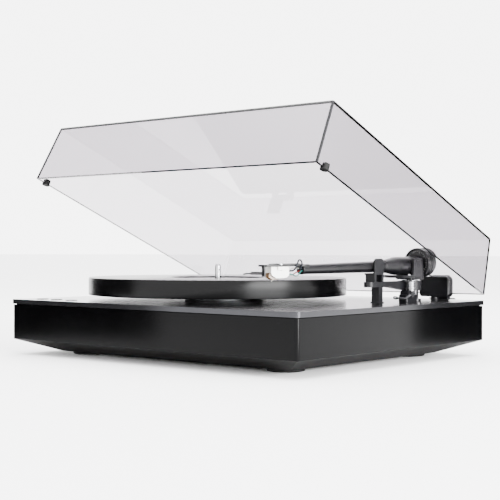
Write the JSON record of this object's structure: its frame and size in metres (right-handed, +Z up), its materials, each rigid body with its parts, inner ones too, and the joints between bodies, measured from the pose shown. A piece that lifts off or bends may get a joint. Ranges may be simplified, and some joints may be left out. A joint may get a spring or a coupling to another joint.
{
  "type": "turntable record player",
  "caption": "Record player with a flat platter, straight tonearm parked on its rest, cueing lift and clear dust cover held part-way open on rear hinges.",
  "frame": {"origin": "the spindle's axis at the platter's upper face", "axes": "+Z up along the spindle, +X towards the tonearm side, along the plinth's long side, +Y towards the lid's hinges"},
  "size_m": [0.435, 0.3982, 0.2767],
  "materials": {
    "plinth_black": "satin black lacquer",
    "plate_grey": "dark grey satin anodised",
    "cover_black": "matt black powder coat",
    "foot_rubber": "matt",
    "screw_black": "black oxide",
    "cast_metal": "as cast, satin",
    "turned_metal": "turned, satin",
    "steel": "ground and polished",
    "bronze": "sintered bronze",
    "core_steel": "lacquered laminations",
    "copper": "enamelled copper wire",
    "magnet": "ferrite, matt",
    "platter_black": "machined black acetal",
    "button_black": "satin black",
    "board_green": "solder-masked circuit board",
    "board_blue": "solder-masked circuit board",
    "light_clear": "frosted light pipe",
    "panel_black": "fine grain",
    "gold": "gold plated",
    "socket_white": "moulded",
    "inlet_black": "moulded",
    "knob_white": "moulded",
    "smoked_clear": "polished smoked acrylic",
    "bumper_rubber": "matt",
    "hinge_black": "satin black",
    "arm_metal": "bright satin",
    "yoke_grey": "satin grey",
    "tube_black": "satin black anodised",
    "weight_black": "satin black with a bright edge",
    "head_black": "satin black",
    "cartridge_white": "moulded white",
    "stylus_brown": "moulded golden brown",
    "stylus_metal": "bright",
    "lead_cover": "flexible sleeves in four colours",
    "rest_black": "satin black",
    "lever_metal": "satin",
    "skate_black": "satin black"
  },
  "bodies": {
    "plinth": {"plinth_body": "plinth_black", "top_plate": "plate_grey", "base_cover": "cover_black", "foot_pads": "foot_rubber", "base_screws": "screw_black", "motor_base": "cast_metal", "bearing_housing": "turned_metal", "bearing_bushes": "bronze", "thrust_ball": "steel", "stator_core": "core_steel", "stator_coils": "copper", "button_board": "board_green", "status_light": "light_clear", "main_board": "board_green", "wireless_board": "board_blue", "rear_panel": "panel_black", "audio_sockets": "gold", "socket_inserts": "socket_white", "ground_post": "gold", "ground_nut": "gold", "dc_inlet": "inlet_black", "hinge_brackets": "hinge_black", "hinge_pins": "steel", "hinge_screws": "screw_black", "arm_pillar": "arm_metal", "arm_nut": "turned_metal", "swing_bearings": "bronze", "rest_bracket": "rest_black", "arm_rest": "rest_black", "lift_housing": "rest_black", "anti_skate_housing": "skate_black"},
    "platter": {"platter": "platter_black", "platter_hub": "cast_metal", "rotor_magnet": "magnet", "spindle": "steel"},
    "lid": {"lid_cover": "smoked_clear", "lid_bumpers": "bumper_rubber", "lid_clips": "hinge_black"},
    "arm_yoke": {"swing_shaft": "steel", "bearing_yoke": "yoke_grey"},
    "arm": {"tilt_axle": "steel", "arm_tube": "tube_black", "rear_stub": "tube_black", "headshell": "head_black", "finger_lift": "head_black", "cartridge_body": "cartridge_white", "cartridge_screws": "steel", "stylus_holder": "stylus_brown", "stylus": "stylus_metal", "cartridge_leads": "lead_cover"},
    "counterweight": {"counterweight": "weight_black"},
    "weight_dial": {"weight_dial": "weight_black"},
    "lift": {"lift_platform": "rest_black"},
    "cue_lever": {"cue_lever": "lever_metal"},
    "anti_skate_slider": {"anti_skate_slider": "lever_metal"},
    "power_button": {"power_button": "button_black"},
    "speed_33_button": {"speed_33_button": "button_black"},
    "speed_45_button": {"speed_45_button": "button_black"},
    "pairing_button": {"pairing_button": "knob_white"},
    "phono_switch": {"phono_switch": "knob_white"}
  },
  "joints": [
    {"name": "platter_spin", "type": "hinge", "parent": "plinth", "child": "platter", "pos_m": [0, 0, 0], "axis": [0, 0, -1], "continuous": true},
    {"name": "lid_hinge", "type": "hinge", "parent": "plinth", "child": "lid", "pos_m": [0.0385, 0.209, -0.0306], "axis": [-1, 0, 0], "range_deg": [-22.5, 37.5]},
    {"name": "arm_swing", "type": "hinge", "parent": "plinth", "child": "arm_yoke", "pos_m": [0.1995, 0.1165, 0], "axis": [0, 0, -1], "range_deg": [0, 45]},
    {"name": "arm_tilt", "type": "hinge", "parent": "arm_yoke", "child": "arm", "pos_m": [0.1995, 0.1165, 0.0154], "axis": [-1, 0, 0], "range_deg": [0, 4]},
    {"name": "weight_slide", "type": "slide", "parent": "arm", "child": "counterweight", "axis": [0, 0.9999, 0.0131], "range_m": [-0.001, 0.008]},
    {"name": "dial_turn", "type": "hinge", "parent": "counterweight", "child": "weight_dial", "pos_m": [0.1995, 0.11646, 0.0184], "axis": [0, 0.9999, 0.0131], "continuous": true},
    {"name": "lift_rise", "type": "slide", "parent": "plinth", "child": "lift", "axis": [0, 0, 1], "range_m": [0, 0.0015], "stiffness_N_per_m": 2, "springref_m": 0.0069},
    {"name": "cue_lever_turn", "type": "hinge", "parent": "plinth", "child": "cue_lever", "pos_m": [0.2184, 0.0885, -0.0171], "axis": [-1, 0, 0], "range_deg": [0, 75]},
    {"name": "anti_skate_slide", "type": "slide", "parent": "plinth", "child": "anti_skate_slider", "axis": [1, 0, 0], "range_m": [-0.0045, 0.0165]},
    {"name": "power_press", "type": "slide", "parent": "plinth", "child": "power_button", "axis": [0, 0, -1], "range_m": [0, 0.0005], "stiffness_N_per_m": 400, "springref_m": -0.001},
    {"name": "speed_33_press", "type": "slide", "parent": "plinth", "child": "speed_33_button", "axis": [0, 0, -1], "range_m": [0, 0.0005], "stiffness_N_per_m": 400, "springref_m": -0.001},
    {"name": "speed_45_press", "type": "slide", "parent": "plinth", "child": "speed_45_button", "axis": [0, 0, -1], "range_m": [0, 0.0005], "stiffness_N_per_m": 400, "springref_m": -0.001},
    {"name": "pairing_press", "type": "slide", "parent": "plinth", "child": "pairing_button", "axis": [0, -1, 0], "range_m": [0, 0.0005], "stiffness_N_per_m": 400, "springref_m": -0.001},
    {"name": "phono_switch_slide", "type": "slide", "parent": "plinth", "child": "phono_switch", "axis": [1, 0, 0], "range_m": [0, 0.005]}
  ],
  "couplings": [
    {"joint": "cue_lever_turn", "follows": "arm_tilt", "ratio": 18.75},
    {"joint": "lift_rise", "follows": "arm_tilt", "m_per_rad": 0.021485}
  ]
}
